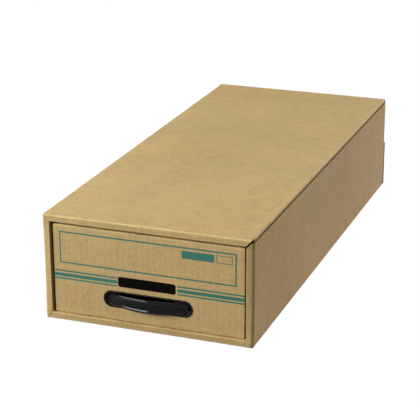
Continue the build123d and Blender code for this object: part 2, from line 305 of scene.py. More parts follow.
def board_slabs(corners, radii, side, place, flutes, runs, span=None, half=(False, False), ends=None, shape=None,
                stations=None, keep=None, turns=TURNS, hole=None):
    """Three sheets of corrugated board along a folded line: face, wave, face.

    The line is carried along the third axis of `place`. A point at depth d lies d / 4 mm of the way from
    the outer line to the inner one. The wave sheet's depth is the middle plus a sine of the distance across
    the flutes, and the faces dip a little between its crests.
    """
    s = sizes()
    outer, bend = fold_line(corners, radii, 0.0, side, runs, turns, half)
    inner, _ = fold_line(corners, radii, BOARD, side, runs, turns, half)
    middle = (outer + inner) / 2
    length = np.concatenate([[0], np.cumsum(np.linalg.norm(np.diff(middle, axis=0), axis=1))])
    if stations is None:
        stations = with_breaks(*span, s.pitch / LONG_POINTS if flutes == "along" else CALM_STEP)
    across = length[:, None] + 0 * stations if flutes == "across" else stations + 0 * length[:, None]
    angle = 2 * math.pi * across / s.pitch
    calm = (1 - bend)[:, None] * fade(stations, stations[0], stations[-1])
    if flutes == "across":
        calm = calm * fade(length, 0, length[-1])[:, None]
    smooth_bend = np.convolve(np.pad(bend, 2, mode="edge"), [0.1, 0.2, 0.4, 0.2, 0.1], mode="valid")
    dip_out = s.ripple * (0.5 + 0.5 * np.sin(angle)) * calm
    dip_in = s.ripple * (0.5 - 0.5 * np.sin(angle)) * calm
    wave = BOARD / 2 + (BOARD / 2 - s.liner - s.medium / 2) * np.sin(angle)
    fraction = (stations - stations[0]) / (stations[-1] - stations[0])
    if hole is not None:
        keep = np.ones((len(length) - 1, len(stations) - 1), bool)
        keep[hole] = False

    def surface(depth):
        w = (depth / BOARD)[..., None]
        line = outer[:, None, :] * (1 - w) + inner[:, None, :] * w
        p, q = line[..., 0], line[..., 1]
        t = stations + 0 * p
        if ends is not None:
            low, high = ends(p, q)
            t = low + (high - low) * fraction
        if shape is not None:
            p, q, t = shape(p, q, t)
        grid = np.empty(p.shape + (3,))
        for axis, value in zip(place, (p, q, t)):
            grid[..., "xyz".index(axis)] = value
        return grid

    zero = np.zeros_like(wave)
    layers = [
        (dip_out, zero + s.liner, 0, 2),
        (wave - s.medium / 2, wave + s.medium / 2, 1, 1),
        (zero + BOARD - s.liner, BOARD - dip_in, 0, 2),
    ]
    notes = {
        "across": np.tile((across * MM).ravel(), 2),
        "crease": np.tile((smooth_bend[:, None] + zero).ravel(), 2),
    }
    return [(*slab(surface(near), surface(far), keep), skin, wall, notes) for near, far, skin, wall in layers]


def plain(points, quads, is_wall):
    """A part of a piece with one material and nothing noted on it."""
    return points, quads, is_wall, 0, 0, dict.fromkeys(("across", "crease"), np.zeros(len(points)))


# ---------------------------------------------------------------- node maths for the materials

class Value:
    """A socket of a node tree. Python's operators on it add Math nodes."""

    def __init__(self, tree, socket):
        self.tree = tree
        self.socket = socket

    def _math(self, operation, first, second=None):
        return self.tree.node("ShaderNodeMath", {"operation": operation}, {0: first, 1: second})

    def __add__(self, other):
        return self._math("ADD", self, other)

    __radd__ = __add__

    def __sub__(self, other):
        return self._math("SUBTRACT", self, other)

    def __rsub__(self, other):
        return self._math("SUBTRACT", other, self)

    def __mul__(self, other):
        return self._math("MULTIPLY", self, other)

    __rmul__ = __mul__

    def __truediv__(self, other):
        return self._math("DIVIDE", self, other)

    def __rtruediv__(self, other):
        return self._math("DIVIDE", other, self)

    def __pow__(self, other):
        return self._math("POWER", self, other)

    def sine(self):
        return self._math("SINE", self)

    def clamp(self, low=0.0, high=1.0):
        return self.tree.node("ShaderNodeClamp", {}, {"Value": self, "Min": low, "Max": high})

    def ramp(self, low, high):
        """0 below low and 1 above high, smooth between them."""
        return self.tree.node(
            "ShaderNodeMapRange", {"interpolation_type": "SMOOTHSTEP"},
            {"Value": self, "From Min": low, "From Max": high},
        )


class Graph:
    """The node tree of a material or a world."""

    def __init__(self, owner, output):
        self.owner = owner
        owner.use_nodes = True
        self.nodes = owner.node_tree.nodes
        self.links = owner.node_tree.links
        self.nodes.clear()
        self.output = self.nodes.new(output)

    def node(self, kind, settings, inputs, output=0):
        """Any node: its settings first, then the values or links of its sockets."""
        made = self.nodes.new(kind)
        for key, value in settings.items():
            setattr(made, key, value)
        for key, value in inputs.items():
            if isinstance(value, Value):
                self.links.new(value.socket, made.inputs[key])
            elif value is not None:
                made.inputs[key].default_value = (*value, 1.0) if made.inputs[key].type == "RGBA" else value
        return Value(self, made.outputs[output])

    def place(self):
        return self.node("ShaderNodeTexCoord", {}, {}, "Object")

    def note(self, name):
        return self.node("ShaderNodeAttribute", {"attribute_name": name}, {}, "Fac")

    def noise(self, vector, scale, detail=2.0, roughness=0.5):
        sockets = {"Vector": vector, "Scale": scale, "Detail": detail, "Roughness": roughness}
        return self.node("ShaderNodeTexNoise", {}, sockets, "Fac")

    def vector(self, operation, first, *second):
        return self.node("ShaderNodeVectorMath", {"operation": operation}, {0: first, 1: second})

    def mix(self, factor, first, second, blend="MIX"):
        settings = {"data_type": "RGBA", "blend_type": blend}
        return self.node("ShaderNodeMix", settings, {0: factor, 6: first, 7: second}, 2)

    def bump(self, height, distance):
        return self.node("ShaderNodeBump", {}, {"Height": height, "Distance": distance}, "Normal")

    def seen(self):
        """1 for camera, glossy and transmission rays, and 0 for the others."""
        rays = ("Is Camera Ray", "Is Glossy Ray", "Is Transmission Ray")
        camera, glossy, through = (self.node("ShaderNodeLightPath", {}, {}, ray) for ray in rays)
        return (camera + glossy + through).clamp()

    def shade(self, shader):
        """Links a shader to the output."""
        self.links.new(shader.socket, self.output.inputs["Surface"])
        return self.owner

    def surface(self, **sockets):
        """The Principled shader, with words for its sockets: Base_Color for Base Color."""
        values = {key.replace("_", " "): value for key, value in sockets.items()}
        return self.shade(self.node("ShaderNodeBsdfPrincipled", {}, values, "BSDF"))


def material_graph(name):
    return Graph(bpy.data.materials.new(name), "ShaderNodeOutputMaterial")


def tone(colour, factor, warm=0.0):
    """A colour made lighter or darker, and redder or greyer."""
    r, g, b = colour
    return (r * factor * (1 + warm), g * factor, b * factor * (1 - warm))


def kraft_face(name):
    """Kraft liner: cloudy pulp, short darker and paler fibres, painted shade in the washboard's dips between the
    flutes, and paler creases from wear and a painted highlight.
    """
    f = material_graph(name)
    base = colour_of("kraft")
    place = f.place()
    cloud = f.noise(place, 9.0, 3.0, 0.55)
    blotch = f.noise(place, 60.0, 3.0, 0.6)
    patch = f.noise(place, 360.0, 2.0, 0.6)
    grain = f.noise(place, 900.0, 2.0, 0.6)
    fibre_a = f.noise(f.vector("MULTIPLY", place, 260.0, 1500.0, 1500.0), 1.0, 1.0)
    fibre_b = f.noise(f.vector("MULTIPLY", place, 1500.0, 260.0, 900.0), 1.0, 1.0)
    uneven = f.noise(f.vector("MULTIPLY", place, 25.0, 25.0, 25.0), 1.0, 1.0)
    warm = f.noise(f.vector("ADD", place, 0.31, 0.0, 0.17), 4.0, 1.0)
    across = f.note("across")
    crease = f.note("crease")
    # painted shade: a sine over the flutes, in step with the washboard's dips, darkens the dips and pales the crests
    washboard_shade = (across * (2 * math.pi / (sizes().pitch * MM))).sine()
    streak = f.noise(f.node("ShaderNodeCombineXYZ", {}, {"X": across * 330.0, "Y": crease}), 1.0, 2.0, 0.6)
    shade = 1.0
    for pattern, amount in ((cloud, 0.32), (blotch, 0.26), (patch, 0.70), (grain, 0.26), (streak, 0.20)):
        shade = shade + (pattern - 0.5) * amount
    shade = shade + washboard_shade * uneven * -0.05
    colour = f.mix(shade.clamp(0.0, 2.0) * 0.5, tone(base, 0.0), tone(base, 2.0))
    dark = (fibre_a.ramp(0.66, 0.76) + fibre_b.ramp(0.66, 0.76)).clamp()
    pale = (fibre_a.ramp(0.36, 0.28) + fibre_b.ramp(0.35, 0.27)).clamp()
    colour = f.mix(dark * 0.30, colour, tone(base, 0.62, 0.05))
    colour = f.mix(pale * 0.20, colour, tone(base, 1.22))
    colour = f.mix(warm.ramp(0.4, 0.65), colour, (1.0, 0.95, 0.92), "MULTIPLY")
    # painted highlight along the folds, with some wear: the creases are made paler
    wear_and_highlight = crease * (0.35 + blotch.ramp(0.35, 0.65) * 0.4)
    colour = f.mix(wear_and_highlight, colour, tone(base, 1.42, -0.04))
    height = grain * 0.4 + blotch * 0.3 + fibre_a * 0.2 + fibre_b * 0.2
    return f.surface(
        Base_Color=colour, Roughness=0.62 + grain * 0.16, Specular_IOR_Level=0.16, Normal=f.bump(height, 0.00006),
    )


def kraft_inside(name):
    """The wavy sheet between the faces: browner, and rough."""
    f = material_graph(name)
    base = colour_of("kraft")
    grain = f.noise(f.place(), 700.0)
    colour = f.mix(grain, tone(base, 0.50, 0.06), tone(base, 0.78, 0.03))
    return f.surface(Base_Color=colour, Roughness=0.8 + grain * 0.1, Specular_IOR_Level=0.2)


def kraft_cut(name):
    """The cut edge of a face sheet: fuzzy and a little darker."""
    f = material_graph(name)
    base = colour_of("kraft")
    fuzz = f.noise(f.place(), 1300.0)
    colour = f.mix(fuzz, tone(base, 0.62, 0.04), tone(base, 1.05))
    return f.surface(
        Base_Color=colour, Roughness=0.85 + fuzz * 0.1, Specular_IOR_Level=0.2, Normal=f.bump(fuzz, 0.0001),
    )


def printed_ink(name, rough, thin, shine):
    """Flat ink soaked into kraft: the fibres show through as small paler specks, more where the ink is thin."""
    f = material_graph(name)
    place = f.place()
    grain = f.noise(place, 1100.0, 2.0, 0.6)
    soak = f.noise(place, 240.0, 2.0, 0.6)
    specks = (grain.ramp(0.55, 0.80) * thin + soak.ramp(0.5, 0.9) * thin).clamp()
    colour = f.mix(specks, colour_of(name), tone(colour_of("kraft"), 0.6))
    return f.surface(
        Base_Color=colour, Roughness=rough + grain * 0.1, Specular_IOR_Level=shine, Normal=f.bump(grain, 0.00004),
    )


def moulded_plastic(name):
    """Black moulded plastic: glossy, with a faint orange-peel and finger haze."""
    f = material_graph(name)
    place = f.place()
    peel = f.noise(place, 420.0)
    haze = f.noise(place, 45.0, 3.0)
    base = colour_of("plastic")
    colour = f.mix(haze, tone(base, 0.85), tone(base, 1.2))
    return f.surface(
        Base_Color=colour, Roughness=0.05 + haze * 0.06, Specular_IOR_Level=0.13, Normal=f.bump(peel, 0.000012),
    )


finishes = []


def board_skins():
    """The three materials of a board piece, made once."""
    if not finishes:
        finishes.extend([
            kraft_face("kraft_board_face"), kraft_inside("kraft_board_medium"), kraft_cut("kraft_board_cut"),
        ])
    return finishes


def board_piece(name, extra=(), merge=0.0, **drawing):
    """One board piece. The first word of its name is its body, and `extra` lists drawings of its tabs."""
    slabs = board_slabs(**drawing)
    for more in extra:
        slabs = slabs + board_slabs(**more)
    piece(name, name.split("_")[0], slabs, board_skins(), name, merge)


# ---------------------------------------------------------------- corners of the rim and of the back

BLUNT = 0.3  # a corner's outermost sliver, which isn't rounded further


def corner_drop(x):
    """How far a rounded corner lies below the flat, x in from its side: R - sqrt(R^2 - (R - x)^2)."""
    x = np.clip(x, BLUNT, CREASE)
    return CREASE - np.sqrt(CREASE ** 2 - (CREASE - x) ** 2)


def squeezed(depth, drop):
    """Depths under a rounded corner: pressed together below the drop, unchanged from the fold's radius on."""
    return np.where(depth < CREASE, drop + depth * (1 - drop / CREASE), depth)


def mitre_reach(depth, gap, set_in=0.0):
    """Where a mitred end stops at each depth: the gap plus the depth that the rounded corner leaves there."""
    x = gap + depth + 1.0
    for _ in range(40):
        x = 0.5 * x + 0.5 * (gap + squeezed(depth, corner_drop(x - set_in)))
    return x


TIGHT_MITRE = 0.15 / math.sqrt(2)
MITRE = 0.45 / math.sqrt(2)
OPEN_MITRE = 2.2 / math.sqrt(2)
END_STEPS = np.array([0.0, 0.5, 1.0, 1.5, 2.0, 2.5, 3.0, 4.0, 9.0, 25.0])


def closing(depth):
    """A mitre's gap: open toward the lip and shut at the outer corner."""
    return MITRE * np.clip(depth / CREASE, 0.1, 1.0)


def mitre_stations(length):
    """Stations along a rim, close together at both ends where the corners round off."""
    middle = np.linspace(END_STEPS[-1], length - END_STEPS[-1], 6)[1:-1]
    return np.concatenate([END_STEPS, middle, length - END_STEPS[::-1]])


def rounded(outside, inward, first, last, slope=None):
    """A shape that presses the folded edge down toward the corners at its two ends.

    With a slope it also leans: a point is set back in proportion to the way out from the lip, and less
    behind the front face.
    """
    def shape(p, q, t):
        depth = (q - outside) * inward
        drop = corner_drop(np.minimum(t - first, last - t))
        if slope is not None:
            p = p + slope(t) * np.clip(RIM - depth, 0, RIM) * np.clip(1 - (p - FRONT) / RIM_START, 0, 1)
        return p, outside + inward * squeezed(depth, drop), t
    return shape


# ---------------------------------------------------------------- operators, one for each piece or group of like pieces

class MakeShellPanels(bpy.types.Operator):
    """Wrap one sheet round as top, left side, bottom and right side, and glue it along the joint flap"""
    bl_idname = "file_box.shell_panels"
    bl_label = "Shell panels"

    def execute(self, context):
        long_span = (FRONT + RIM_START, BACK - FOLD)
        side_span = (FRONT + RIM_START, BACK - BOARD - FOLD)
        low, high = box_mm("shell_joint_flap")
        none, wide, tall = even(0), even(6), even(4)
        for name, corners, runs, half, span in (
            ("shell_top", [(-HALF, TOP / 2), (-HALF, TOP), (JOINT_X, TOP), (JOINT_X, TOP - FOLD)],
             [none, wide, even(1)], (True, False), long_span),
            ("shell_left_side", [(0, 0), (-HALF, 0), (-HALF, TOP), (0, TOP)],
             [none, tall, none], (True, True), side_span),
            ("shell_bottom", [(HALF, TOP / 2), (HALF, 0), (-HALF, 0), (-HALF, TOP / 2)],
             [none, wide, none], (True, True), long_span),
            ("shell_right_side", [(HALF, JOINT_Z), (HALF, 0), (0, 0)],
             [tall, none], (False, True), side_span),
            ("shell_joint_flap", [(high[0], high[2]), (high[0], low[2])],
             [even(2)], (False, False), (low[1], high[1])),
        ):
            board_piece(
                name, corners=corners, radii=[CREASE, CREASE], side=-1, place="xzy", flutes="along",
                runs=runs, half=half, span=span,
            )
        return {"FINISHED"}


class MakeRims(bpy.types.Operator):
    """Roll the four front edges in and back, with mitred corners"""
    bl_idname = "file_box.rims"
    bl_label = "Rolled front rims"

    def execute(self, context):
        floor_end = box_mm("shell_rim_bottom")[1][1]
        flap_end = box_mm("shell_rim_top")[1][1]

        def rim(name, level, outside, inward, last, ends, slope=None, end=flap_end, bend=RIM_BEND):
            """Rolls one edge round the front and back along its flap. `ends` gives both ends at a depth."""
            lip = outside + inward * RIM
            board_piece(
                name, corners=[(FRONT + RIM_START, outside), (FRONT, outside), (FRONT, lip), (end, lip)],
                radii=[bend, RIM_LIP], side=-inward, runs=[even(6), even(5), wave_rows(end - FRONT, LONG_POINTS)],
                flutes="across", turns=10, place="yzx" if level else "yxz",
                stations=mitre_stations(2 * HALF if level else TOP), ends=lambda p, q: ends((q - outside) * inward),
                shape=rounded(outside, inward, -HALF if level else 0.0, last, slope),
            )

        rim("shell_rim_top", True, TOP, -1, JOINT_X, lambda depth: (
            -HALF + mitre_reach(depth, TIGHT_MITRE), HALF - mitre_reach(depth, OPEN_MITRE, HALF - JOINT_X)))
        rim("shell_rim_bottom", True, 0.0, 1, HALF, lambda depth: (
            -HALF + mitre_reach(depth, closing(depth)), HALF - mitre_reach(depth, closing(depth))),
            lambda t: 0.10 * fade(t, -HALF, HALF, 40.0), floor_end)
        rim("shell_rim_left", False, -HALF, 1, TOP, lambda depth: (
            mitre_reach(depth, closing(depth)), TOP - mitre_reach(depth, TIGHT_MITRE)),
            lambda t: 0.2 * fade(t, 0, TOP, 50.0))
        rim("shell_rim_right", False, HALF, -1, TOP, lambda depth: (
            mitre_reach(depth, closing(depth)), np.minimum(JOINT_Z, TOP - OPEN_MITRE - depth)),
            lambda t: 0.26 * fade(t, 0, 2 * TOP, 50.0), bend=ROUND_BEND)
        return {"FINISHED"}


class MakeBackFlaps(bpy.types.Operator):
    """Close the back with two dust flaps and, over them, two outer flaps"""
    bl_idname = "file_box.back_flaps"
    bl_label = "Back flaps"

    def execute(self, context):
        across = np.concatenate([-HALF + END_STEPS, np.linspace(-100, 100, 7), HALF - END_STEPS[::-1]])
        for name, outside, inward, right in (
            ("shell_back_flap_upper", TOP, -1, JOINT_X), ("shell_back_flap_lower", 0.0, 1, HALF),
        ):
            low, high = box_mm(name)
            edge = low[2] if inward < 0 else high[2]
            board_piece(
                name, corners=[(BACK - FOLD, outside), (BACK, outside), (BACK, edge)], radii=[CREASE], side=inward,
                place="yzx", flutes="across", runs=[even(1), wave_rows(abs(edge - outside))], stations=across,
                ends=lambda p, q: (-HALF, right), shape=rounded(outside, inward, -HALF, right),
            )
        for name, direction in (("shell_dust_flap_left", -1), ("shell_dust_flap_right", 1)):
            low, high = box_mm(name)
            outside = direction * HALF
            inner = high[0] if direction < 0 else low[0]
            board_piece(
                name, corners=[(outside, low[1]), (outside, high[1]), (inner, high[1])], radii=[CREASE],
                side=direction, place="xyz", span=(low[2], high[2]), flutes="across",
                runs=[even(1), wave_rows(abs(inner - outside))],
            )
        return {"FINISHED"}


def hole_half_height(x, margin):
    """Half the height of the long round-ended hole at x: flat in the middle, a half circle at each end."""
    radius = HOLE_END + margin
    return np.sqrt(radius ** 2 - np.clip(np.abs(x) - HOLE_STRAIGHT, 0, radius) ** 2)


def hole_columns(half, margin):
    """Columns across a panel, with a line at each step of the hole's round ends."""
    bends = HOLE_STRAIGHT + (HOLE_END + margin) * np.sin(np.linspace(0, math.pi / 2, 11))
    return with_breaks(-half, half, sizes().pitch / WAVE_POINTS, np.concatenate([-bends[::-1], bends]))


class MakeDrawerTray(bpy.types.Operator):
    """Fold the drawer's bottom and sides, its back, and the corner flaps"""
    bl_idname = "file_box.drawer_tray"
    bl_label = "Drawer tray"

    def execute(self, context):
        none = even(0)
        low, high = box_mm("drawer_bottom")
        slots = []
        for y in (DRAWER_FRONT + 2 * BOARD, DRAWER_BACK - 3 * BOARD):
            for x in (-TAB_X, TAB_X):
                reach = TAB_WIDTH / 2 + SLOT_GAP
                slots.append((x - reach, x + reach, y - SLOT_GAP, y + BOARD + SLOT_GAP))
        start, end = -DRAWER_HALF + CREASE, DRAWER_HALF - CREASE
        wide = with_breaks(start, end, sizes().pitch / WAVE_POINTS, [v for c in slots for v in c[:2]])
        beside = sorted({v + d for c in slots for v in c[2:] for d in (-1, 0, 1)})
        stations = with_breaks(low[1], high[1], 45.0, beside)
        xs = np.concatenate([np.full(TURNS, start), wide, np.full(TURNS, end)])
        mid_x = (xs[:-1] + xs[1:])[:, None] / 2
        mid_y = (stations[:-1] + stations[1:]) / 2
        keep = np.ones((len(mid_x), len(mid_y)), bool)
        for x0, x1, y0, y1 in slots:
            keep &= ~((mid_x > x0) & (mid_x < x1) & (mid_y > y0) & (mid_y < y1))
        fold_top = 60  # any height above the fold will do, because the side's run is left out
        board_piece(
            "drawer_bottom", radii=[CREASE, CREASE], side=1, place="xzy", flutes="across",
            corners=[(-DRAWER_HALF, fold_top), (-DRAWER_HALF, DRAWER_FLOOR), (DRAWER_HALF, DRAWER_FLOOR),
                     (DRAWER_HALF, fold_top)],
            runs=[none, (wide - start) / (end - start), none], half=(True, True), stations=stations, keep=keep,
        )
        low, high = box_mm("drawer_left_side")
        for name, way in (("drawer_left_side", 1), ("drawer_right_side", -1)):
            outer = -way * DRAWER_HALF
            board_piece(
                name, corners=[(outer, SIDE_TOP), (outer, DRAWER_FLOOR), (0, DRAWER_FLOOR)][::way], radii=[CREASE],
                side=1, place="xzy", span=(low[1], high[1]), flutes="across",
                runs=[wave_rows(SIDE_TOP - DRAWER_FLOOR), none][::way], half=(False, True)[::way],
            )
        for end_name, inward in (("front", 1), ("back", -1)):
            for side_name, direction in (("left", -1), ("right", 1)):
                name = f"drawer_corner_flap_{end_name}_{side_name}"
                low, high = box_mm(name)
                face, start_y = (low[1], high[1])[::inward]
                outer, inner = (low[0], high[0])[::-direction]
                board_piece(
                    name, corners=[(outer, start_y), (outer, face), (inner, face)], radii=[CREASE],
                    side=-direction * inward, place="xyz", span=(low[2], high[2]), flutes="along",
                    runs=[even(1), even(4)],
                )
        board_piece("drawer_back", **drawer_end(DRAWER_BACK, -1, CREASE, 5))
        make_lining("drawer_back_lining", DRAWER_BACK, -1)
        return {"FINISHED"}


def drawer_end(face, inward, radius, rows):
    """The outer layer of the drawer's front or back, with a fold below and above it."""
    corners = [(face + inward * FOLD, DRAWER_FLOOR), (face, DRAWER_FLOOR), (face, DRAWER_TOP),
               (face + inward * FOLD, DRAWER_TOP)]
    return {"corners": corners, "radii": [radius, radius], "side": -inward, "place": "yzx", "flutes": "along",
            "span": (-DRAWER_HALF, DRAWER_HALF), "runs": [even(1), even(rows), even(1)]}


def make_lining(name, face, inward, margin=None):
    """An end's rolled-over strip and inner layer, with its lock tabs, and the hand hole if there is a margin."""
    inner = face + inward * 3 * BOARD
    floor = DRAWER_FLOOR + BOARD
    common = {"side": -inward, "place": "yzx", "flutes": "along"}
    tabs = [
        {"corners": [(inner, floor + 0.01), (inner, DRAWER_FLOOR)], "radii": [], "runs": [even(1)],
         "span": (x - TAB_WIDTH / 2, x + TAB_WIDTH / 2), **common}
        for x in (-TAB_X, TAB_X)
    ]
    drawing = {
        "corners": [(face + inward * FOLD, DRAWER_TOP), (inner, DRAWER_TOP), (inner, floor)], "radii": [CREASE],
        "span": (-LINING_HALF, LINING_HALF), "runs": [even(2), even(5)], "extra": tabs, **common,
    }
    if margin is not None:
        add_hole(drawing, floor, DRAWER_TOP - CREASE, margin, LINING_HALF, before=2 + TURNS, downward=True)
    board_piece(name, **drawing)


def add_hole(drawing, low, high, margin, half, before, downward):
    """Cuts the hand hole through a drawing's second run, whose straight part goes from low to high.

    `before` counts the points ahead of that part. The rows below the hole's middle move down and those
    above it up, by the hole's half height times their nearness to the middle.
    """
    share = (HOLE_Z - low) / (high - low)
    lower, upper = np.linspace(0, share, 5), np.linspace(share, 1, 7)
    fractions = np.concatenate([lower, upper])
    if downward:
        fractions = (1 - fractions)[::-1]
    split = before + (len(upper) if downward else len(lower))
    columns = hole_columns(half, margin)

    def shape(p, q, t):
        rows = np.arange(q.shape[0])[:, None] + 0 * q
        tall = hole_half_height(t, margin)
        is_low = (rows >= split) if downward else (rows < split)
        span_low = np.clip((q - low) / (HOLE_Z - low), 0, 1)
        span_high = np.clip((high - q) / (high - HOLE_Z), 0, 1)
        inside = (q > low - 1e-6) & (q < high + 1e-6)
        moved = np.where(is_low, q - tall * span_low, q + tall * span_high)
        return p, np.where(inside, moved, q), t

    middle = (columns[:-1] + columns[1:]) / 2
    drawing["runs"][1] = fractions
    drawing.update(stations=columns, merge=WELD, shape=shape, hole=(split - 1, hole_half_height(middle, margin) > 0))


class MakeDrawerFront(bpy.types.Operator):
    """Fold the drawer's front up and over its corner flaps, with the hand hole through both layers"""
    bl_idname = "file_box.drawer_front"
    bl_label = "Drawer front"

    def execute(self, context):
        drawing = drawer_end(DRAWER_FRONT, 1, SHARP, 4)
        low, high = DRAWER_FLOOR + SHARP, DRAWER_TOP - SHARP
        add_hole(drawing, low, high, 0.0, DRAWER_HALF, before=1 + TURNS, downward=False)
        board_piece("drawer_front", **drawing)
        make_lining("drawer_front_lining", DRAWER_FRONT, 1, 1.5)
        return {"FINISHED"}


def height_at(edge, x):
    """A height along x, from a number, an array or a function of x."""
    return edge(x) if callable(edge) else edge + 0 * x


def ink_patch(x0, x1, lower, upper, rows=1, extra=()):
    """A thin printed patch on the drawer's front, between two heights that may depend on x, following the flutes."""
    s = sizes()
    board = hole_columns(DRAWER_HALF, 0.0)
    x = np.concatenate([[x0], board[(board > x0 + 0.05) & (board < x1 - 0.05)], extra, [x1]])
    x.sort()
    calm = fade(board, board[0], board[-1])
    dip = np.interp(x, board, s.ripple * (0.5 + 0.5 * np.sin(2 * math.pi * board / s.pitch)) * calm)
    low, high = height_at(lower, x), height_at(upper, x)
    z = low + (high - low) * even(rows)[:, None]
    face = np.stack([x + 0 * z, DRAWER_FRONT + dip - s.ink + 0 * z, z], -1)
    return plain(*slab(face, face + np.array([0, 2 * s.ink, 0])))


def ink_outline(x0, x1, z0, z1, line):
    """Four thin patches round a rectangle."""
    return [
        ink_patch(x0, x1, z0, z0 + line), ink_patch(x0, x1, z1 - line, z1),
        ink_patch(x0, x0 + line, z0 + line, z1 - line), ink_patch(x1 - line, x1, z0 + line, z1 - line),
    ]


def corner_steps(radius):
    """Distances from a side to the steps of a rounded corner: R - R cos(a)."""
    return radius * (1 - np.cos(np.linspace(0, math.pi / 2, 8)))


def corner_inset(x, x0, x1, radius):
    """How far a rectangle with round corners is drawn in at x: R - sqrt(R^2 - n^2), n the way into a corner."""
    near = np.clip(radius - np.minimum(x - x0, x1 - x), 0, radius)
    return radius - np.sqrt(radius ** 2 - near ** 2)


class MakePrint(bpy.types.Operator):
    """Print the drawer's front: an outlined panel, stripes, a plain bar and a plain dark label"""
    bl_idname = "file_box.print"
    bl_label = "Print on the front"

    def execute(self, context):
        panel = ink_outline(-114.1, 112.4, 74.3, 115.4, 1.8)
        bar = ink_patch(44.0, 84.7, 100.8, 110.8)
        patches = [*panel, bar, *ink_outline(87.2, 107.8, 100.8, 110.8, 0.9)]
        for left, right in ((-DRAWER_HALF + 0.1, -39.2), (38.2, DRAWER_HALF - 0.1)):
            for middle, tall in ((58.9, 4.3), (64.1, 2.0), (54.0, 2.0)):
                patches.append(ink_patch(left, right, middle - tall / 2, middle + tall / 2))
        piece("drawer_front_print", "drawer", patches, [printed_ink("print_ink", 0.55, 0.25, 0.06)])
        x0, x1, z0, z1, radius = -38.3, 36.1, 53.2, 66.4, 3.0
        bends = corner_steps(radius)[1:]
        label = ink_patch(
            x0, x1, lambda x: z0 + corner_inset(x, x0, x1, radius), lambda x: z1 - corner_inset(x, x0, x1, radius),
            2, np.concatenate([x0 + bends, x1 - bends]),
        )
        piece("drawer_front_label", "drawer", [label], [printed_ink("label_ink", 0.45, 0.02, 0.03)])
        return {"FINISHED"}


def round_trip(reach, side_points, end_points):
    """Points once round a line of half length `reach`: their x, and the cosine and sine of their way out."""
    run = np.linspace(-reach, reach, side_points)
    turn = np.linspace(-math.pi / 2, math.pi / 2, end_points + 2)[1:-1]
    x = np.concatenate([run, np.full(end_points, reach), run[::-1], np.full(end_points, -reach)])
    quarter = np.full(side_points, math.pi / 2)
    angle = np.concatenate([-quarter, turn, quarter, turn + math.pi])
    return x, np.cos(angle), np.sin(angle)


def closed_surface(points):
    """Quads over a grid whose columns close on themselves, as a part of a piece."""
    rows, columns = points.shape[:2]
    index = np.arange(rows * columns).reshape(rows, columns)
    ahead = np.roll(index, -1, 1)
    quads = np.stack([index[:-1], index[1:], ahead[1:], ahead[:-1]], -1).reshape(-1, 4)
    flat = points.reshape(-1, 3)
    if signed_volume(flat, quads) < 0:
        quads = quads[:, ::-1]
    return plain(flat, quads, np.zeros(len(quads), bool))


def block(x0, x1, lower, upper, y0, y1, x=None):
    """A slab standing across the drawer's front between two heights that may depend on x."""
    x = np.linspace(x0, x1, 5) if x is None else x
    low, high = height_at(lower, x), height_at(upper, x)
    z = np.stack([low, (low + high) / 2, high])
    near = np.stack([x + 0 * z, y0 + 0 * z, z], -1)
    return plain(*slab(near, near + np.array([0, y1 - y0, 0])))


GRIP_LENGTH = 106.0
GRIP_MIDDLE = 8.7  # half the grip's height in the middle
GRIP_TIP = 7.2  # the same at its ends, which are round
GRIP_BOW = 115.0  # radius that the strap is bowed to
GRIP_FRONT = CAD_BOX[0][1] / MM
HOOK_START, HOOK_NECK, HOOK_END = 45.5, 51.5, 62.5  # from the middle
HOOK_PLATE = 2.4  # thickness behind the lining
BARB_X = 21.0
BARB = 1.2  # height and thickness


def bowed(x):
    """How far the strap has fallen back at x: R - sqrt(R^2 - x^2)."""
    return GRIP_BOW - np.sqrt(GRIP_BOW ** 2 - x ** 2)


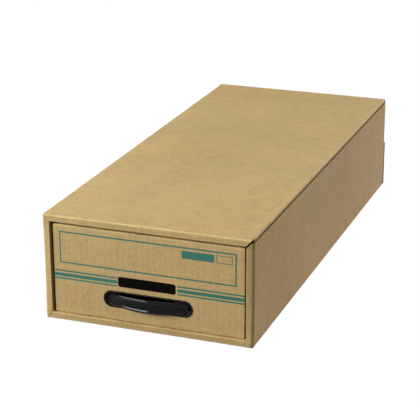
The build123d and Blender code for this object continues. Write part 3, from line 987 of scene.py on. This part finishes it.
class MakeHandle(bpy.types.Operator):
    """Mould the bezel round the hand hole, and the bowed grip with its hooks behind the lining"""
    bl_idname = "file_box.handle"
    bl_label = "Handle"

    def execute(self, context):
        black = moulded_plastic("black_plastic_gloss")
        self.make_grip(black)
        self.make_bezel(black)
        return {"FINISHED"}

    def make_grip(self, black):
        """Rings of one profile, each point given as way in from the edge and depth behind the front.

        The profile is the groove's floor and wall, the raised rim, the rounded edge, the side and the back.
        The half height falls from the middle to the tips with the square of the distance.
        """
        profile = np.array([
            (99.0, 0.98), (5.4, 0.98), (4.6, 0.96), (4.2, 0.90), (3.9, 0.78), (3.6, 0.62), (3.2, 0.42), (2.8, 0.22),
            (2.55, 0.10), (2.3, 0.02), (2.05, 0.0), (1.85, 0.02), (1.6, 0.10), (1.2, 0.30), (0.8, 0.50), (0.45, 0.70),
            (0.15, 1.0), (0.0, 1.45), (0.0, 2.2), (0.1, 2.65),
            (0.4, 3.0), (0.9, 3.2), (3.0, 3.2), (99.0, 3.2),
        ])
        reach = GRIP_LENGTH / 2 - GRIP_TIP
        x, dx, dz = round_trip(reach, 61, 23)
        half = GRIP_MIDDLE - (GRIP_MIDDLE - GRIP_TIP) * (x / reach) ** 2
        out = half - np.minimum(profile[:, :1], half)
        px, pz = x + dx * out, HOLE_Z + dz * out
        parts = [closed_surface(np.stack([px, GRIP_FRONT + bowed(px) + profile[:, 1:], pz], -1))]
        back = box_mm("handle_grip")[1][1]
        root = GRIP_FRONT + bowed(HOOK_START) + 1.6
        neck, plate, radius = 4.5, 7.0, 3.0  # half heights of a hook's two parts, and the plate's corners
        bends = corner_steps(radius)
        for side in (-1, 1):
            x0, x1 = sorted((side * HOOK_START, side * HOOK_NECK))
            parts.append(block(x0, x1, HOLE_Z - neck, HOLE_Z + neck, root, back - HOOK_PLATE))
            x0, x1 = sorted((side * HOOK_START, side * HOOK_END))
            x = np.concatenate([x0 + bends, [(x0 + x1) / 2], x1 - bends[::-1]])
            tall = plate - corner_inset(x, x0, x1, radius)
            parts.append(block(x0, x1, HOLE_Z - tall, HOLE_Z + tall, back - HOOK_PLATE, back, x))
        piece("handle_grip", "drawer", parts, [black], "handle_grip", merge=WELD)

    def make_bezel(self, black):
        """A soft lip carried round the long round-ended hole, with two collars and their snap barbs behind it."""
        profile = np.array([
            (-1.0, 0.0), (-1.0, -0.35), (-0.88, -0.72), (-0.55, -0.95), (0.0, -1.0), (0.9, -1.0), (1.4, -0.9),
            (1.7, -0.62), (1.8, -0.3), (1.8, 0.0), (-1.0, 0.0),
        ])
        x, dx, dz = round_trip(HOLE_STRAIGHT, 25, 27)
        out = HOLE_END + profile[:, :1]
        parts = [closed_surface(np.stack([x + dx * out, DRAWER_FRONT + profile[:, 1:] + 0 * x, HOLE_Z + dz * out], -1))]
        back = box_mm("handle_bezel")[1][1]
        collar, barb = 42.0, 7.0  # half lengths
        for up in (-1, 1):
            wall = HOLE_Z + up * HOLE_END
            parts.append(block(-collar, collar, *sorted((wall - up, wall)), DRAWER_FRONT - 0.01, back))
            for middle in (-BARB_X, BARB_X):
                z0, z1 = sorted((wall, wall + up * BARB))
                parts.append(block(middle - barb, middle + barb, z0, z1, back - 2 * BARB, back - BARB))
        piece("handle_bezel", "drawer", parts, [black], "handle_bezel", merge=WELD)


class MakeStage(bpy.types.Operator):
    """White sweep, soft studio light and the camera at the photograph's angle"""
    bl_idname = "file_box.stage"
    bl_label = "Stage"

    def execute(self, context):
        context.scene.view_settings.view_transform = "Standard"
        self.place_camera(context.scene)
        self.light(context.scene)
        self.lay_floor(context.scene)
        return {"FINISHED"}

    def place_camera(self, scene):
        """A long lens that looks at the target from an azimuth and elevation, rolled a little about its view."""
        azimuth, elevation, roll = (math.radians(v) for v in (20.25, 20.01, -0.16))
        target, distance = Vector((-0.0290, -0.0197, 0.0514)), 2.0027
        back = Vector((
            math.sin(azimuth) * math.cos(elevation), -math.cos(azimuth) * math.cos(elevation), math.sin(elevation),
        ))
        right = Vector((math.cos(azimuth), math.sin(azimuth), 0))
        up = back.cross(right)
        data = bpy.data.cameras.new("photo_camera")
        data.sensor_width, data.lens, data.clip_end = 36.0, 124.77, 50.0
        camera = bpy.data.objects.new("photo_camera", data)
        scene.collection.objects.link(camera)
        turn = Matrix((
            right * math.cos(roll) + up * math.sin(roll), up * math.cos(roll) - right * math.sin(roll), back,
        )).transposed()
        camera.matrix_world = Matrix.Translation(target + back * distance) @ turn.to_4x4()
        scene.camera = camera

    def light(self, scene):
        """A world that is seen white but lights the part only faintly, and three large lamps."""
        g = Graph(bpy.data.worlds.new("studio"), "ShaderNodeOutputWorld")
        faint, white = (
            g.node("ShaderNodeBackground", {}, {"Color": (1.0, 1.0, 1.0), "Strength": power}) for power in (0.03, 1.0)
        )
        scene.world = g.shade(g.node("ShaderNodeMixShader", {}, {0: g.seen(), 1: faint, 2: white}))
        neutral, rosy = (1.0, 1.0, 1.0), (1.0, 0.91, 1.0)
        for name, place, aim, power, wide, tall, tint in (
            ("key", (-1.10, -1.54, 0.78), (0, -0.3, 0.05), 33.0, 1.3, 0.34, neutral),
            ("back_fill", (3.1, 4.3, 1.2), (0, 0, 0.05), 200.0, 1.8, 1.4, rosy),
            ("overhead", (-0.3, -0.3, 2.8), (0, 0, 0.1), 39.2, 1.6, 1.2, neutral),
        ):
            data = bpy.data.lights.new(name, "AREA")
            data.shape, data.size, data.size_y, data.energy, data.color = "RECTANGLE", wide, tall, power, tint
            lamp = bpy.data.objects.new(name, data)
            scene.collection.objects.link(lamp)
            lamp.location = place
            lamp.rotation_euler = (Vector(aim) - Vector(place)).to_track_quat("-Z", "Y").to_euler()

    def lay_floor(self, scene):
        """A floor that is seen almost white, and still takes the part's shadow."""
        f = material_graph("floor")
        paint = f.node("ShaderNodeBsdfDiffuse", {}, {"Color": (0.22, 0.22, 0.22)}, "BSDF")
        glow = f.node("ShaderNodeEmission", {}, {"Color": (1.0, 1.0, 1.0), "Strength": 1.23}, "Emission")
        half = 6.0
        mesh = bpy.data.meshes.new("floor")
        mesh.from_pydata([(-half, -half, 0), (half, -half, 0), (half, half, 0), (-half, half, 0)], [], [(0, 1, 2, 3)])
        mesh.materials.append(f.shade(f.node("ShaderNodeMixShader", {}, {0: f.seen() * 0.80, 1: paint, 2: glow})))
        floor = bpy.data.objects.new("floor", mesh)
        scene.collection.objects.link(floor)


class FileBoxPanel(bpy.types.Panel):
    """Sizes, colours and the steps of the file box"""
    bl_idname = "VIEW3D_PT_file_box"
    bl_label = "File box"
    bl_space_type = "VIEW_3D"
    bl_region_type = "UI"
    bl_category = "File box"

    def draw(self, context):
        layout = self.layout
        for group in (context.scene.file_box_sizes, context.scene.file_box_colours):
            for key in group.bl_rna.properties.keys():
                if key not in ("rna_type", "name"):
                    layout.prop(group, key)
        for step in steps:
            layout.operator(step.bl_idname)


steps = [MakeStage, MakeShellPanels, MakeRims, MakeBackFlaps, MakeDrawerTray, MakeDrawerFront, MakePrint, MakeHandle]
classes = [BoxSizes, BoxColours, *steps, FileBoxPanel]


def register():
    for item in classes:
        bpy.utils.register_class(item)
    bpy.types.Scene.file_box_sizes = bpy.props.PointerProperty(type=BoxSizes)
    bpy.types.Scene.file_box_colours = bpy.props.PointerProperty(type=BoxColours)


def unregister():
    del bpy.types.Scene.file_box_colours
    del bpy.types.Scene.file_box_sizes
    for item in reversed(classes):
        bpy.utils.unregister_class(item)


def main():
    register()
    for step in steps:
        group, name = step.bl_idname.split(".")
        getattr(getattr(bpy.ops, group), name)()


if __name__ == "__main__":
    main()
